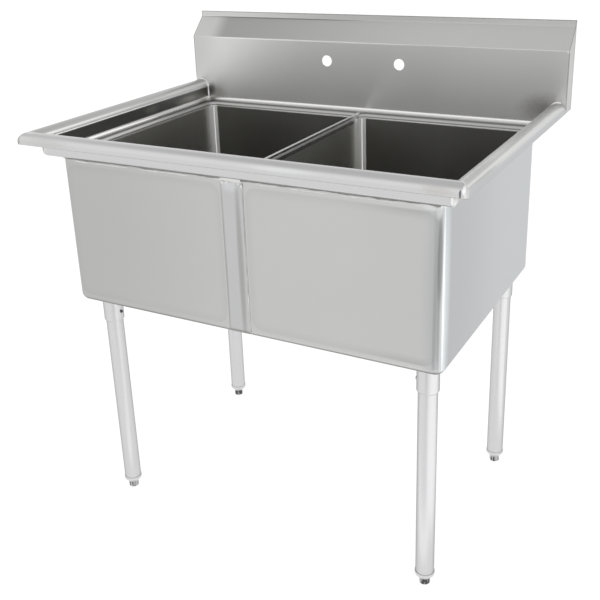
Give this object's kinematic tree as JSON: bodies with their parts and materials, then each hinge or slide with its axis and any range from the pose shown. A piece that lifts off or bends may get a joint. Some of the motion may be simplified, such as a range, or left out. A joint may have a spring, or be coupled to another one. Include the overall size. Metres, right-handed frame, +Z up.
{
  "type": "scullery sink",
  "caption": "Free-standing stainless scullery sink: deep square-cornered bowls side by side under a rolled rim, a backsplash with faucet holes, and tubular legs with levelling feet.",
  "frame": {"origin": "on the floor, midway across the rim and midway from the front roll to the wall plane", "axes": "+X to the user's right, +Y towards the wall, +Z up"},
  "size_m": [1.0414, 0.7494, 1.1541],
  "materials": {
    "bowl_steel": "brushed stainless steel, satin grain",
    "rim_steel": "brushed stainless steel, polished along the roll and welds",
    "splash_steel": "brushed stainless steel, satin grain",
    "gusset_steel": "mill-finish stainless steel",
    "leg_steel": "satin tube",
    "insert_steel": "turned stainless steel",
    "foot_steel": "turned and milled stainless steel",
    "screw_steel": "stainless set screw",
    "gasket_rubber": "moulded rubber",
    "locknut_steel": "zinc-plated die casting",
    "drain_steel": "drawn stainless steel, polished",
    "basket_steel": "drawn stainless steel, polished"
  },
  "bodies": {
    "sink": {"left_bowl": "bowl_steel", "right_bowl": "bowl_steel", "deck": "rim_steel", "front_rim": "rim_steel", "left_rim": "rim_steel", "right_rim": "rim_steel", "backsplash": "splash_steel", "left_end_cap": "splash_steel", "right_end_cap": "splash_steel", "divider_cap": "rim_steel", "front_seam_strip": "rim_steel", "front_left_gusset": "gusset_steel", "front_right_gusset": "gusset_steel", "rear_left_gusset": "gusset_steel", "rear_right_gusset": "gusset_steel", "front_left_socket": "leg_steel", "front_right_socket": "leg_steel", "rear_left_socket": "leg_steel", "rear_right_socket": "leg_steel", "socket_set_screws": "screw_steel", "front_left_leg": "leg_steel", "front_right_leg": "leg_steel", "rear_left_leg": "leg_steel", "rear_right_leg": "leg_steel", "front_left_insert": "insert_steel", "front_right_insert": "insert_steel", "rear_left_insert": "insert_steel", "rear_right_insert": "insert_steel", "left_drain_body": "drain_steel", "left_drain_gasket": "gasket_rubber", "left_drain_locknut": "locknut_steel", "right_drain_body": "drain_steel", "right_drain_gasket": "gasket_rubber", "right_drain_locknut": "locknut_steel"},
    "front_left_levelling_foot": {"front_left_foot": "foot_steel"},
    "front_right_levelling_foot": {"front_right_foot": "foot_steel"},
    "rear_left_levelling_foot": {"rear_left_foot": "foot_steel"},
    "rear_right_levelling_foot": {"rear_right_foot": "foot_steel"},
    "left_strainer_basket": {"left_basket": "basket_steel"},
    "right_strainer_basket": {"right_basket": "basket_steel"}
  },
  "joints": [
    {"name": "front_left_foot_height", "type": "slide", "parent": "sink", "child": "front_left_levelling_foot", "axis": [0, 0, -1], "range_m": [0, 0.025]},
    {"name": "front_right_foot_height", "type": "slide", "parent": "sink", "child": "front_right_levelling_foot", "axis": [0, 0, -1], "range_m": [0, 0.025]},
    {"name": "rear_left_foot_height", "type": "slide", "parent": "sink", "child": "rear_left_levelling_foot", "axis": [0, 0, -1], "range_m": [0, 0.025]},
    {"name": "rear_right_foot_height", "type": "slide", "parent": "sink", "child": "rear_right_levelling_foot", "axis": [0, 0, -1], "range_m": [0, 0.025]},
    {"name": "left_basket_lift", "type": "slide", "parent": "sink", "child": "left_strainer_basket", "axis": [0, 0, 1], "range_m": [0, 0.06]},
    {"name": "right_basket_lift", "type": "slide", "parent": "sink", "child": "right_strainer_basket", "axis": [0, 0, 1], "range_m": [0, 0.06]}
  ]
}
